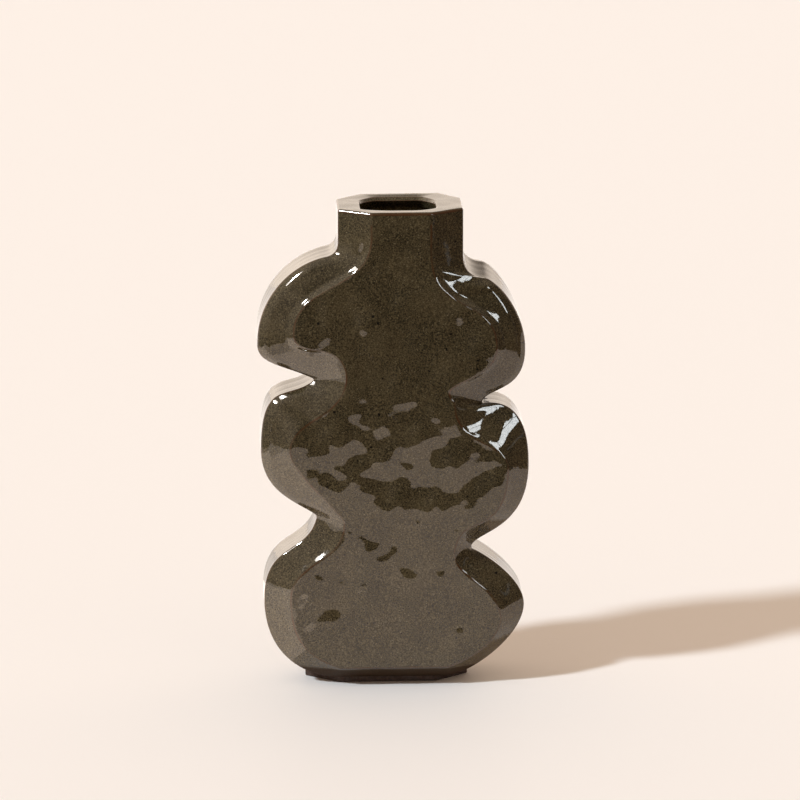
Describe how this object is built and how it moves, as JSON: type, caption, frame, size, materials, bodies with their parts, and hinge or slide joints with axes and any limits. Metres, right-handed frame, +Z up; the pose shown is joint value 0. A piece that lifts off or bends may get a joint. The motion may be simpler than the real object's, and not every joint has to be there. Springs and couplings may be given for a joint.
{
  "type": "vase",
  "caption": "Flat upright slab-built vase with stacked rounded lobes down each side, a carved bevel round both faces, an octagonal neck and a thin bare foot; holds water and cut stems.",
  "frame": {"origin": "middle of the vase's length and depth, at the level of the surface that the foot stands on", "axes": "+Z up to the mouth, +X to the vase's right side as its front is seen, -Y towards the front"},
  "size_m": [0.1324, 0.042, 0.24],
  "materials": {
    "glaze": "glossy dark olive-brown glaze with a fine speckle",
    "bare_clay": "unglazed dark brown stoneware, matt"
  },
  "bodies": {
    "root": {"front_slab": "glaze", "back_slab": "glaze", "left_neck_strip": "glaze", "left_upper_strip": "glaze", "left_middle_strip": "glaze", "left_lower_strip": "glaze", "right_neck_strip": "glaze", "right_upper_strip": "glaze", "right_middle_strip": "glaze", "right_lower_strip": "glaze", "mouth_plate": "glaze", "foot_plate": "bare_clay"}
  },
  "joints": []
}
